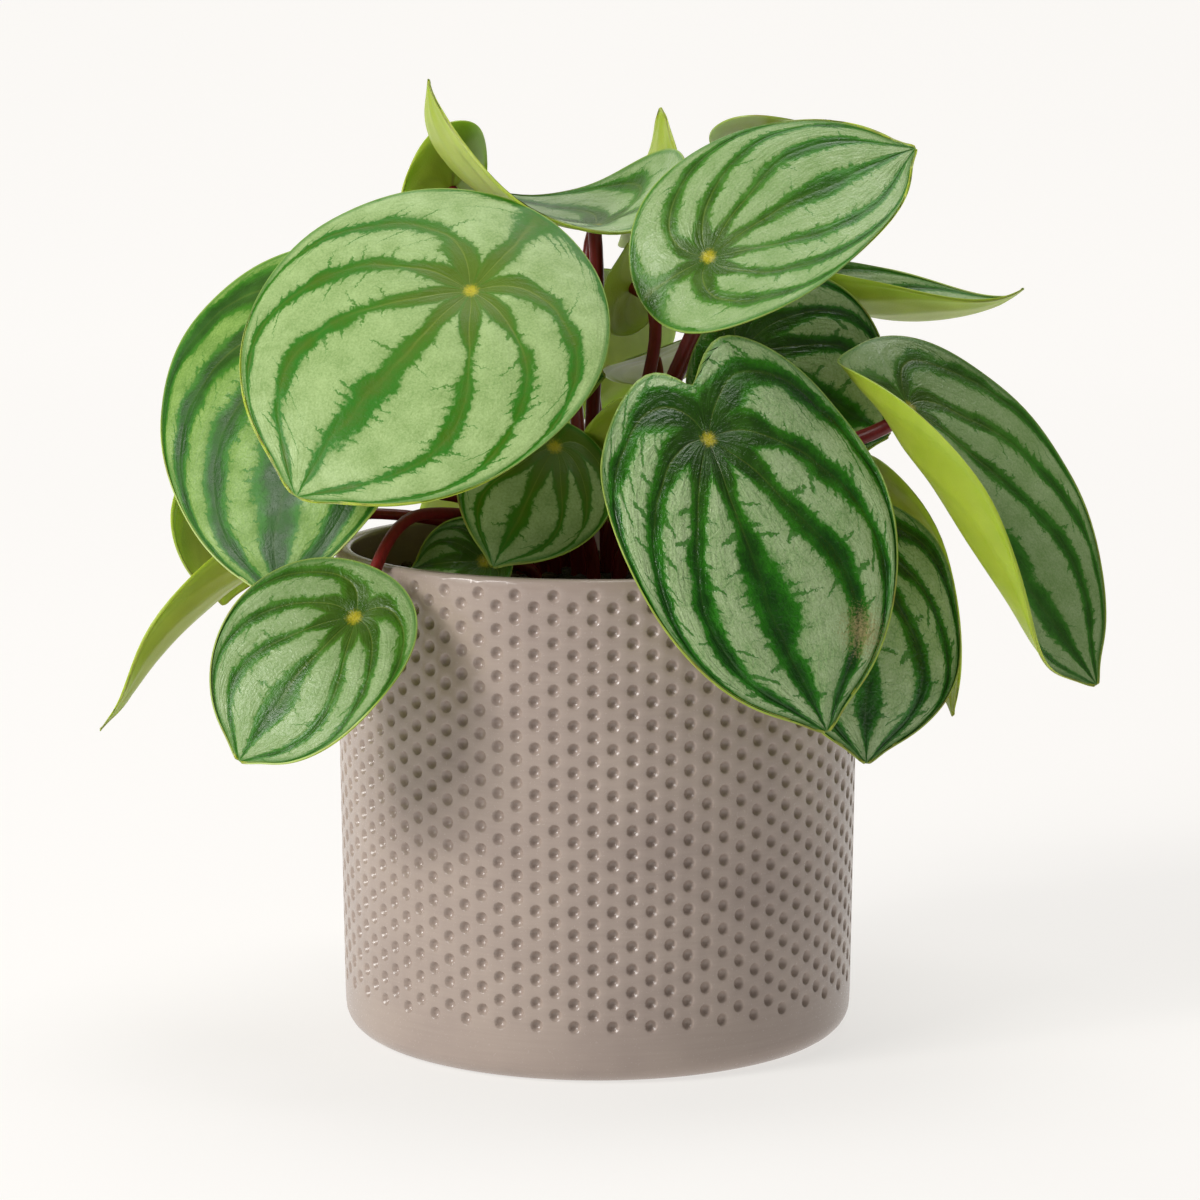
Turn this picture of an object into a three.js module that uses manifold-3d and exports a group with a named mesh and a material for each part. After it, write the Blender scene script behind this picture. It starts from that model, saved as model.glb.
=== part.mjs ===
// Potted watermelon peperomia: a dimpled ceramic pot full of soil, with stalks that rise from the soil
// and carry one round leaf each. A stalk joins the underside of its leaf inside the outline, at the hub.
// Millimetres, +Z up. The origin is the centre of the pot's base and the front of the plant faces -Y.

import * as THREE from 'three';
import { mergeVertices } from 'three/addons/utils/BufferGeometryUtils.js';
import Module from 'manifold-3d';

const wasm = await Module();
wasm.setup();

// Pot
const POT_HEIGHT = 121;
const RIM_RADIUS = 65;
const BASE_RADIUS = 63.4;
const BASE_ROUND = 6;
const WALL = 4;
const RIM_ROUND = 1.3;
const FLOOR = 5;

// Dimples in columns, each second column half a pitch higher, and each dimple a four-sided pit here
const PIT_COLUMNS = 88;
const PIT_ROWS = 19;
const PIT_PITCH = 5.561;
const PIT_LOWEST = 14.4;
const PIT_DEPTH = 0.85;
const FIRST_COLUMN = -0.014;
const PLAIN_BAND = 8;

// Soil
const SOIL_GAP = 0.3;
const SOIL_EDGE = 110;
const SOIL_CROWN = 114;
const SOIL_SIDES = 36;

// Stalks
const STALK_RADIUS = 1.5;
const STALK_SIDES = 6;
const STALK_STEPS = 6;
const HOLE_RADIUS = 2.2;
const ROOT_DEPTH = 12;
const SEAT_GAP = 0.3;

// A foot stands on the way to its hub, this share of the way out, and this far from its neighbours
const FOOT_SHARE = 0.2;
const FOOT_SPACING = 6;
const SPACING_ROUNDS = 60;

// Leaves
const BLADE_THICKNESS = 1;
const BLADE_RINGS = 4;
const BLADE_SPOKES = 16;
const SMALL_BLADE = 36;
const SMALL_BLADE_SPOKES = 12;
const HUB_DENT = 1.4;
const HUB_DENT_RADIUS = 7;
const BACK_ROUNDNESS = 0.5;
const BEAK = 0.05;
const BEAK_SPREAD = 0.2;

// What a leaf has where its row says nothing: taper sharpens the tip, notch cuts the back in, skew
// widens the left half and narrows the right one, lobe draws the left half further back and the right
// one less far, bow is the rise of the midrib as a share of its length, droop and twist are degrees,
// sway bends the midrib sideways, and lean is how straight the stalk runs up to the hub.
const USUAL = {
  taper: 0.65, notch: 0, skew: 0, lobe: 0, bow: 0.05, droop: 15, twist: 0, sway: 0, lean: 0.3,
};

// Each leaf is laid out from its hub to its tip, with its upper face turned to face. width is across
// the blade, and back is how far it reaches behind the hub, in hub-to-tip lengths. curl is how far the
// left and right halves turn up, in degrees, seen from above with the tip ahead. over is the place
// where a low leaf's stalk clears the rim, and foot is where a stalk stands if that isn't on its way.
const LEAVES = [
  { hub: [-30, -38, 187], tip: [-68, -62, 143], face: [-20, -80, 55],
    width: 86, back: 0.48, taper: 0.52, skew: -0.02, lobe: -0.12, curl: [-12, -4] },
  { hub: [-72, -12, 176], tip: [-76, -44, 115.5], face: [-35, -80, 45],
    width: 72, back: 0.4, curl: [-14, -10] },
  { hub: [-57, -58, 112], tip: [-82, -68, 81], face: [-30, -85, 45],
    width: 46, back: 0.32, taper: 0.55, skew: -0.05, curl: [12, 12],
    foot: [-10, -7], over: [-42, -30, 132], lean: 0.15 },
  { hub: [-86, 22, 140], tip: [-96, 34, 102], face: [-50, 80, 30],
    width: 42, back: 0.34, curl: [-10, -10] },
  { hub: [-84, 4, 116], tip: [-121, -12, 78], face: [-75, 20, 60],
    width: 30, back: 0.34, taper: 0.85, curl: [40, 40], over: [-56, 2, 128], lean: 0.15 },
  { hub: [-10, -30, 149], tip: [-24, -46, 123], face: [10, -85, 50],
    width: 38, back: 0.22, curl: [-10, -10], foot: [-1, -14] },
  { hub: [-27, -34, 122], tip: [-44, -32, 119], face: [10, -75, 65],
    width: 23, back: 0.4, curl: [10, 10], foot: [-15, -22], lean: 0.15 },
  { hub: [-1, 11, 200], tip: [-41.5, 5, 232], face: [65, 5, 80],
    width: 54, back: 0.5, taper: 0.8, bow: -0.2, droop: -70, twist: 20, curl: [-6, 25] },
  { hub: [-38, 36, 208], tip: [-40, 52, 183], face: [-45, 85, 30],
    width: 24, back: 0.7, droop: -10, curl: [20, 20] },
  { hub: [12, 30, 201], tip: [16, 36, 226], face: [93, 37, 0],
    width: 30, back: 0.4, taper: 0.9, curl: [2, 2] },
  { hub: [26, -26, 194], tip: [74, -16, 218], face: [15, -68, 72],
    width: 55, back: 0.36, curl: [-3, 20], lean: 0.22 },
  { hub: [44, 38, 221], tip: [59, 72, 198], face: [15, 55, 80],
    width: 35, back: 0.4, curl: [-10, -10] },
  { hub: [56, 33, 180], tip: [105, 23, 181], face: [10, 2, 98],
    width: 44, back: 0.36, bow: -0.12, curl: [62, 48] },
  { hub: [36, 6, 167], tip: [71, 6, 148], face: [15, -95, 28],
    width: 54, back: 0.3, curl: [2, -8] },
  { hub: [76, -16, 157], tip: [118, -32, 94], face: [45, -65, 60],
    width: 66, back: 0.27, taper: 0.6, skew: -0.14, sway: -0.05, curl: [10, 88] },
  { hub: [26, -60, 154], tip: [51, -77, 91], face: [30, -80, 45],
    width: 70, back: 0.36, notch: 0.46, taper: 0.58, skew: 0.1, lobe: 0.25, sway: -0.04,
    curl: [-12, -12], over: [33, -30, 134], lean: 0.15 },
  { hub: [60, -40.6, 126], tip: [63, -56.6, 79], face: [45, -75, 40],
    width: 57, back: 0.32, taper: 0.57, skew: 0.06, curl: [-10, -10],
    over: [48, -32, 131], lean: 0.15 },
  { hub: [76, 6, 126], tip: [88, -2, 80], face: [85, 40, 25],
    width: 33, back: 0.4, curl: [-10, -10], over: [55, 4, 132], lean: 0.15 },
  { hub: [10, -22, 148], tip: [7, -15, 126], face: [0, 80, 30],
    width: 28, back: 0.65, curl: [-10, -10], foot: [13, -28], lean: 0.15 },
  { hub: [7, 12, 184], tip: [19, 22, 184], face: [-20, 85, 20],
    width: 26, back: 0.6, curl: [-10, -10] },
  { hub: [-16, -4, 162], tip: [1, -8, 163], face: [0, -80, 50],
    width: 22, back: 0.4, curl: [-10, -10] },
  { hub: [14, 31, 166], tip: [22, 53, 157], face: [0, 80, 50],
    width: 30, back: 0.4, curl: [-10, -10] },
  { hub: [-45, 42, 165], tip: [-75, 72, 128], face: [-50, 60, 60],
    width: 58, back: 0.36, curl: [-12, -12] },
  { hub: [-8, 52, 178], tip: [-14, 88, 140], face: [-5, 60, 75],
    width: 60, back: 0.36, curl: [-12, -12] },
  { hub: [43, 54, 172], tip: [71, 86, 138], face: [45, 60, 60],
    width: 52, back: 0.36, curl: [-12, -12] },
  { hub: [-20, 70, 128], tip: [-28, 92, 88], face: [-10, 80, 50],
    width: 52, back: 0.34, curl: [-12, -12], over: [-14, 54, 130], lean: 0.15 },
  { hub: [52, 62, 128], tip: [64, 84, 86], face: [50, 75, 45],
    width: 50, back: 0.34, curl: [-12, -12], over: [38, 44, 130], lean: 0.15 },
].map((row) => ({ ...USUAL, ...row }));

const paint = (color, roughness) => new THREE.MeshStandardMaterial({ color, roughness, metalness: 0 });
const GLAZED_CLAY = paint('#a3958c', 0.5);
const SOIL = paint('#2b211a', 0.95);
const LEAF_GREEN = paint('#5f9a4c', 0.4);
const STALK_RED = paint('#5a1519', 0.45);

const plant = new THREE.Group();

function addPiece(name, geometry, material) {
  const piece = new THREE.Mesh(geometry, material);
  piece.name = name;
  plant.add(piece);
}

// Solids for joining and cutting

function toSolid(geometry) {
  const bare = geometry.clone();
  bare.deleteAttribute('normal');
  bare.deleteAttribute('uv');
  const merged = mergeVertices(bare, 1e-4);
  const vertProperties = new Float32Array(merged.attributes.position.array);
  const triVerts = new Uint32Array(merged.index.array);
  return new wasm.Manifold(new wasm.Mesh({ numProp: 3, vertProperties, triVerts }));
}

function toGeometry(solid) {
  const mesh = solid.getMesh();
  return meshGeometry(Array.from(mesh.vertProperties), Array.from(mesh.triVerts));
}

function meshGeometry(positions, triangles) {
  const geometry = new THREE.BufferGeometry();
  geometry.setAttribute('position', new THREE.Float32BufferAttribute(positions, 3));
  geometry.setIndex(triangles);
  geometry.computeVertexNormals();
  return geometry;
}

// Pot: rings of points from the centre of the base, up the pitted wall, over the rim and down inside

function potGeometry() {
  const positions = [];
  const triangles = [];
  const step = (2 * Math.PI) / PIT_COLUMNS;
  const halfPitch = PIT_PITCH / 2;
  const wallRadius = (z) => BASE_RADIUS + (RIM_RADIUS - BASE_RADIUS) * (z / POT_HEIGHT);

  const addPoint = (radius, angle, z) => {
    positions.push(radius * Math.sin(angle), -radius * Math.cos(angle), z);
    return positions.length / 3 - 1;
  };
  const columnAngle = (k) => FIRST_COLUMN + k * step;
  const raised = (k) => (k % 2 === 0 ? halfPitch : 0);
  const around = Array.from({ length: PIT_COLUMNS }, (_, k) => k);
  // A pit's corners lie halfway to the pits above and below it, and in the columns on both sides
  const cornerRow = (row) => around.map((k) => {
    const z = PIT_LOWEST - halfPitch + raised(k) + row * PIT_PITCH;
    return addPoint(wallRadius(z), columnAngle(k), z);
  });
  const ring = (radius, z) => around.map((k) => addPoint(radius, columnAngle(k), z));
  const joinRings = (lower, upper) => {
    for (let k = 0; k < PIT_COLUMNS; k += 1) {
      const next = (k + 1) % PIT_COLUMNS;
      triangles.push(lower[k], lower[next], upper[next], lower[k], upper[next], upper[k]);
    }
  };

  const rows = Array.from({ length: PIT_ROWS + 1 }, (_, row) => cornerRow(row));
  for (let row = 0; row < PIT_ROWS; row += 1) {
    for (let column = 0; column < PIT_COLUMNS; column += 1) {
      const z = PIT_LOWEST + raised(column) + row * PIT_PITCH;
      const centre = addPoint(wallRadius(z) - PIT_DEPTH, columnAngle(column), z);
      const before = (column + PIT_COLUMNS - 1) % PIT_COLUMNS;
      const after = (column + 1) % PIT_COLUMNS;
      const side = column % 2 === 0 ? row + 1 : row;
      const loop = [rows[row][column], rows[side][after], rows[row + 1][column], rows[side][before]];
      loop.forEach((corner, i) => triangles.push(centre, corner, loop[(i + 1) % 4]));
    }
  }

  const lowRing = ring(wallRadius(PLAIN_BAND), PLAIN_BAND);
  joinRings(lowRing, rows[0]);
  let previous = lowRing;
  for (const turn of [45, 90]) {
    const angle = THREE.MathUtils.degToRad(turn);
    const next = ring(BASE_RADIUS - BASE_ROUND * (1 - Math.cos(angle)), BASE_ROUND * (1 - Math.sin(angle)));
    joinRings(next, previous);
    previous = next;
  }
  const baseCentre = addPoint(0, 0, 0);
  previous.forEach((point, k) => triangles.push(baseCentre, previous[(k + 1) % PIT_COLUMNS], point));

  const inner = RIM_RADIUS - WALL;
  const rim = [
    ring(wallRadius(POT_HEIGHT - RIM_ROUND), POT_HEIGHT - RIM_ROUND),
    ring(RIM_RADIUS - RIM_ROUND, POT_HEIGHT),
    ring(inner + RIM_ROUND, POT_HEIGHT),
    ring(inner, POT_HEIGHT - RIM_ROUND),
    ring(inner, FLOOR),
  ];
  previous = rows[PIT_ROWS];
  for (const next of rim) {
    joinRings(previous, next);
    previous = next;
  }
  const floorCentre = addPoint(0, 0, FLOOR);
  previous.forEach((point, k) => triangles.push(floorCentre, point, previous[(k + 1) % PIT_COLUMNS]));
  return meshGeometry(positions, triangles);
}

// Leaf blades

const unit = (list) => new THREE.Vector3(...list).normalize();
const degrees = THREE.MathUtils.degToRad;

// The flat outline: a round back, its widest place short of half way, and a short drip tip
function outline(leaf, turn) {
  const along = (1 + Math.cos(turn)) / 2;
  const widest = BACK_ROUNDNESS / (BACK_ROUNDNESS + leaf.taper);
  const scale = 1 / (widest ** BACK_ROUNDNESS * (1 - widest) ** leaf.taper);
  const side = scale * along ** BACK_ROUNDNESS * Math.max(1 - along, 0) ** leaf.taper;
  const across = Math.sign(Math.sin(turn)) * side;
  const fromTip = Math.min(turn, 2 * Math.PI - turn);
  const beak = BEAK * Math.exp(-((fromTip / BEAK_SPREAD) ** 2));
  const fromBack = Math.abs(turn - Math.PI);
  const notch = 1 - leaf.notch * Math.exp(-((fromBack / BEAK_SPREAD) ** 2));
  const ahead = along * (1 + leaf.back) - leaf.back + beak;
  const lobed = ahead < 0 ? ahead * (1 + leaf.lobe * across) : ahead;
  return { x: lobed * notch, y: across * notch };
}

// A place on the upper face: x runs from hub to tip, y across in half widths
function bladePoint(leaf, x, y) {
  const hub = new THREE.Vector3(...leaf.hub);
  const ahead = new THREE.Vector3(...leaf.tip).sub(hub);
  const chord = ahead.length();
  ahead.normalize();
  const up = unit(leaf.face);
  up.addScaledVector(ahead, -up.dot(ahead)).normalize();
  const left = new THREE.Vector3().crossVectors(up, ahead);

  // The midrib is one arc from hub to tip and another behind the hub
  const rise = 2 * Math.atan(2 * leaf.bow);
  const length = (chord * rise) / Math.sin(rise);
  const bend = x >= 0 ? -2 * rise : -degrees(leaf.droop) / leaf.back;
  const slope = rise + bend * x;
  const forward = (length / bend) * (Math.sin(slope) - Math.sin(rise));
  const lift = (length / bend) * (Math.cos(rise) - Math.cos(slope));
  const along = ahead.clone().multiplyScalar(Math.cos(slope)).addScaledVector(up, Math.sin(slope));
  const normal = up.clone().multiplyScalar(Math.cos(slope)).addScaledVector(ahead, -Math.sin(slope));

  const twist = degrees(leaf.twist) * x;
  const sideways = left.clone().multiplyScalar(Math.cos(twist)).addScaledVector(normal, Math.sin(twist));
  normal.crossVectors(along, sideways);

  const halfWidth = (leaf.width / 2) * (1 + Math.sign(y) * leaf.skew);
  const curl = degrees(leaf.curl[y >= 0 ? 0 : 1]);
  const reach = Math.abs(y);
  const span = (halfWidth * Math.sin(curl * reach)) / curl;
  const raise = (halfWidth * (1 - Math.cos(curl * reach))) / curl;
  const sway = leaf.sway * chord * (x >= 0 ? 4 * x * (1 - x) : 4 * x) * (1 - y * y);
  const fromHub = Math.hypot(x * length, y * halfWidth);
  const dent = HUB_DENT * Math.exp(-((fromHub / HUB_DENT_RADIUS) ** 2));
  return hub.addScaledVector(ahead, forward).addScaledVector(up, lift)
    .addScaledVector(sideways, Math.sign(y) * span + sway).addScaledVector(normal, raise - dent);
}

function bladeMesh(leaf) {
  const points = [bladePoint(leaf, 0, 0)];
  const triangles = [];
  const spokes = leaf.width < SMALL_BLADE ? SMALL_BLADE_SPOKES : BLADE_SPOKES;
  for (let ringIndex = 1; ringIndex <= BLADE_RINGS; ringIndex += 1) {
    const share = ringIndex / BLADE_RINGS;
    for (let spoke = 0; spoke < spokes; spoke += 1) {
      const edge = outline(leaf, (spoke / spokes) * 2 * Math.PI);
      points.push(bladePoint(leaf, edge.x * share, edge.y * share));
    }
  }
  const at = (ringIndex, spoke) => 1 + (ringIndex - 1) * spokes + (spoke % spokes);
  for (let spoke = 0; spoke < spokes; spoke += 1) {
    triangles.push([0, at(1, spoke), at(1, spoke + 1)]);
    for (let ringIndex = 1; ringIndex < BLADE_RINGS; ringIndex += 1) {
      const [a, b] = [at(ringIndex, spoke), at(ringIndex, spoke + 1)];
      const [c, d] = [at(ringIndex + 1, spoke), at(ringIndex + 1, spoke + 1)];
      triangles.push([a, c, d], [a, d, b]);
    }
  }
  const sheet = meshGeometry(points.flatMap((p) => p.toArray()), triangles.flat());
  const normals = points.map((_, i) => new THREE.Vector3().fromBufferAttribute(sheet.attributes.normal, i));
  return { points, triangles, normals, at, spokes };
}

// The blade is the same sheet of triangles above and below, closed round the margin
function bladeGeometry(leaf) {
  const { points, triangles, normals, at, spokes } = bladeMesh(leaf);
  const count = points.length;
  const under = points.map((p, i) => p.clone().addScaledVector(normals[i], -BLADE_THICKNESS));
  const faces = triangles.flat();
  triangles.forEach(([a, b, c]) => faces.push(a + count, c + count, b + count));
  for (let spoke = 0; spoke < spokes; spoke += 1) {
    const [a, b] = [at(BLADE_RINGS, spoke), at(BLADE_RINGS, spoke + 1)];
    faces.push(a, a + count, b + count, a, b + count, b);
  }
  return meshGeometry([...points, ...under].flatMap((p) => p.toArray()), faces);
}

// Stalks

function soilHeight(radius) {
  const share = radius / (RIM_RADIUS - WALL);
  return SOIL_EDGE + (SOIL_CROWN - SOIL_EDGE) * (1 - share ** 2);
}

// Each foot starts on the way to its hub, then crowded feet push each other apart
function footPlaces() {
  const feet = LEAVES.map(({ hub, foot }) => (foot ? new THREE.Vector2(...foot)
    : new THREE.Vector2(hub[0], hub[1]).multiplyScalar(FOOT_SHARE)));
  for (let round = 0; round < SPACING_ROUNDS; round += 1) {
    feet.forEach((foot, i) => feet.slice(i + 1).forEach((other) => {
      const apart = foot.clone().sub(other);
      const short = FOOT_SPACING - apart.length();
      if (short > 0) {
        apart.normalize().multiplyScalar(short / 2);
        foot.add(apart);
        other.sub(apart);
      }
    }));
  }
  return feet;
}

function stalkPath(leaf, foot) {
  const { points, normals } = bladeMesh(leaf);
  const seat = points[0].clone().addScaledVector(normals[0], -(BLADE_THICKNESS + SEAT_GAP));
  const surface = soilHeight(foot.length());
  const root = new THREE.Vector3(foot.x, foot.y, surface - ROOT_DEPTH);
  const out = new THREE.Vector3(foot.x, foot.y, surface + 1);
  const span = out.distanceTo(seat);
  const below = seat.clone().addScaledVector(normals[0], -leaf.lean * span);
  const path = new THREE.CurvePath();
  path.add(new THREE.LineCurve3(root, out));
  if (leaf.over) {
    // A low leaf's stalk climbs over the rim, level at its highest place, and comes down to the hub
    const top = new THREE.Vector3(...leaf.over);
    const level = new THREE.Vector3(seat.x - out.x, seat.y - out.y, 0).normalize();
    const climb = out.clone().add(new THREE.Vector3(0, 0, 0.7 * (top.z - out.z)));
    path.add(new THREE.CubicBezierCurve3(out, climb, top.clone().addScaledVector(level, -0.2 * span), top));
    path.add(new THREE.CubicBezierCurve3(top, top.clone().addScaledVector(level, 0.25 * span), below, seat));
  } else {
    const climb = out.clone().add(new THREE.Vector3(0, 0, 0.4 * span));
    path.add(new THREE.CubicBezierCurve3(out, climb, below, seat));
  }
  return path;
}

function roundShape(radius, sides) {
  const corners = Array.from({ length: sides }, (_, k) => {
    const angle = (k / sides) * 2 * Math.PI;
    return new THREE.Vector2(radius * Math.cos(angle), radius * Math.sin(angle));
  });
  return new THREE.Shape(corners);
}

function stalkGeometry(path) {
  const section = roundShape(STALK_RADIUS, STALK_SIDES);
  return new THREE.ExtrudeGeometry(section, { steps: STALK_STEPS, extrudePath: path });
}

// Soil, with a plain hole for each stalk

function soilGeometry(feet) {
  const radius = RIM_RADIUS - WALL - SOIL_GAP;
  const bottom = FLOOR + SOIL_GAP;
  const half = radius / 2;
  const profile = [
    new THREE.Vector2(0, bottom),
    new THREE.Vector2(radius, bottom),
    new THREE.Vector2(radius, SOIL_EDGE),
    new THREE.Vector2(half, soilHeight(half)),
    new THREE.Vector2(0, SOIL_CROWN),
  ];
  const body = new THREE.LatheGeometry(profile, SOIL_SIDES).rotateX(Math.PI / 2);
  let solid = toSolid(body);
  const section = roundShape(HOLE_RADIUS, STALK_SIDES);
  const depth = ROOT_DEPTH + SEAT_GAP;
  for (const foot of feet) {
    const hole = new THREE.ExtrudeGeometry(section, { depth: 2 * depth, bevelEnabled: false });
    hole.translate(foot.x, foot.y, soilHeight(foot.length()) - depth);
    solid = solid.subtract(toSolid(hole));
  }
  return toGeometry(solid);
}

const feet = footPlaces();
addPiece('pot', potGeometry(), GLAZED_CLAY);
addPiece('soil', soilGeometry(feet), SOIL);
LEAVES.forEach((leaf, i) => {
  const number = String(i + 1).padStart(2, '0');
  addPiece(`blade_${number}`, bladeGeometry(leaf), LEAF_GREEN);
  addPiece(`stalk_${number}`, stalkGeometry(stalkPath(leaf, feet[i])), STALK_RED);
});

export default plant;
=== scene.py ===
"""Potted watermelon peperomia in a dimpled taupe pot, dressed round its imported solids.

Sizes below are in millimetres and meshes are in metres. +Z is up and the front faces -Y.
"""

import math
import random

import bmesh
import bpy
import numpy as np
from mathutils import Matrix, Vector, noise


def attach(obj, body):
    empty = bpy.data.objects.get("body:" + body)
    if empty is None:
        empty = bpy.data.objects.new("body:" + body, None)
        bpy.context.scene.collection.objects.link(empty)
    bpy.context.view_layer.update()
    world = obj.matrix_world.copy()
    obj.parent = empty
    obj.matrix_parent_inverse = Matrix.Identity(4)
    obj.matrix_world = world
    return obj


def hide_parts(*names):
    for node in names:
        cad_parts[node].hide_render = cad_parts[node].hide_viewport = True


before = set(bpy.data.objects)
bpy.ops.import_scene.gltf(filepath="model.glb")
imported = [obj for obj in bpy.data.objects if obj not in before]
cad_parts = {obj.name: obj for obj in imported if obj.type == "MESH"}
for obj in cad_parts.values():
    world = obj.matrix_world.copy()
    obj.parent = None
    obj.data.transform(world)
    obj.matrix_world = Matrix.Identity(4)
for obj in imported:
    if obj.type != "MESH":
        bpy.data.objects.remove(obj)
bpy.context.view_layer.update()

MM = 0.001

# Points of one mesh that are closer than this are one point, and so are those where two tiles meet
SAME_POINT = 0.02
TILE_JOINT = 0.01

# Pot
POT_HEIGHT = 121
RIM_RADIUS = 65
BASE_RADIUS = 63.4
BASE_ROUND = 6
WALL = 4
FLOOR = 5
RIM_ROUND = 1.3
RIM_DEPTH = 6
PLAIN_FOOT = 9
DIMPLE_COLUMNS = 88
DIMPLE_ROWS = 19
DIMPLE_PITCH = 5.561
LOWEST_DIMPLE = 14.4
FIRST_COLUMN = -0.014
DIMPLE_RADIUS = 1.7
DIMPLE_DEPTH = 1.3

# Each step into a dimple goes inward by a share of its radius and down by a share of its depth
DIMPLE_STEPS = ((0.08, 0.04), (0.25, 0.62), (0.4, 0.34))

# Soil
SOIL_GAP = 0.3
SOIL_EDGE = 110
SOIL_CROWN = 114
SOIL_GRID = 110
STREWN_MARGIN = 4
CRUMB_SIZE = 7

# Crumbs of three sizes: how much finer each is than the largest, and how high it stands
CRUMBS = ((1, 1.1), (2.7, 0.8), (6, 0.5))

# Where bark and moss lie, each spot with its middle and how far it spreads
BARK_SPOTS = [((0, 0), 34)]
MOSS_SPOTS = [((-18, -47), 9), ((6, -50), 7), ((25, 20), 12), ((-30, 25), 12)]

# Stalks
STALK_RADIUS = 1.5
ROOT_DEPTH = 12
FOOT_SHARE = 0.2
FOOT_SPACING = 6
SPACING_ROUNDS = 60

# How deep a stalk ends in its blade, and how thick it is at its foot, along it and at the hub
SEAT_DEPTH = 0.63
STALK_SHAPE = (1.15, 0.95, 1.1)

# Leaves
BLADE_THICKNESS = 0.9
MARGIN_SHARE = 0.38
HUB_DENT = 1.4
HUB_DENT_RADIUS = 7
BACK_ROUNDNESS = 0.5
BEAK = 0.05
BEAK_SPREAD = 0.2
VEIN_REACH = 4.5
WIDEST_SWELL = 10
RIPPLE = 0.35
THINNING = 5
FINE_GRID = (10, 60)
SMALL_GRID = (6, 36)
SMALL_WIDTH = 36

# What a leaf has where its row says nothing: taper sharpens the tip, notch cuts the back in, skew
# widens the left half and narrows the right one, lobe draws the left half further back and the right
# one less far, bow is the rise of the midrib as a share of its length, droop and twist are degrees,
# sway bends the midrib sideways, lean is how straight the stalk runs up to the hub, puff is how far
# the blade swells between its veins, as a share of their spacing, ruffle is the wave of the margin in
# millimetres, and veins is how many main veins lie on each side.
USUAL = {
    "taper": 0.65, "notch": 0, "skew": 0, "lobe": 0, "bow": 0.05, "droop": 15, "twist": 0, "sway": 0,
    "lean": 0.3, "puff": 0.035, "ruffle": 0.5, "veins": 3.5, "tone": "young", "foot": None, "over": None,
}

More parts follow.
